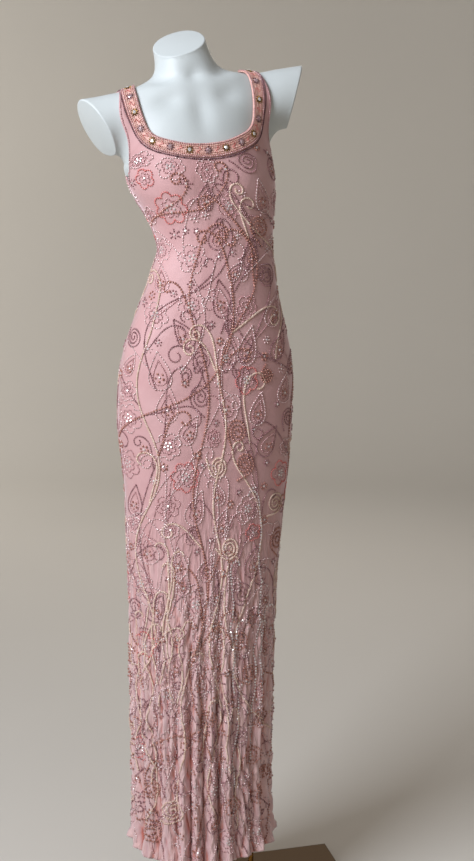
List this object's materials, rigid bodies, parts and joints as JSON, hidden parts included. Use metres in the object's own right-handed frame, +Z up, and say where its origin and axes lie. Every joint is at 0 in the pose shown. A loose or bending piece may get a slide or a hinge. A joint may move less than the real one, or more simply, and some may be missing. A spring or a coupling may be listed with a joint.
{
  "type": "beaded evening dress on a dress form",
  "caption": "Long sleeveless bias-cut chiffon evening dress with all-over beading and a beaded neckband, worn by a limbless dress form on a gilt pole and base plate.",
  "frame": {"origin": "middle of the base plate's underside, under the pole", "axes": "+Z up, the form faces -Y, +X is the right-hand side of someone looking at the front"},
  "size_m": [0.5161, 0.345, 1.6439],
  "materials": {
    "chiffon": "matt crinkled silk chiffon over a matching ground, with sewn beads",
    "beaded_band": "chiffon band covered with seed beads and set stones",
    "form_plastic": "satin white",
    "gilt_metal": "brushed gilt"
  },
  "bodies": {
    "root": {"panel_front": "chiffon", "panel_back": "chiffon", "neckband_front": "beaded_band", "neckband_back": "beaded_band", "form_torso": "form_plastic", "form_pole": "gilt_metal", "form_base": "gilt_metal"}
  },
  "joints": []
}
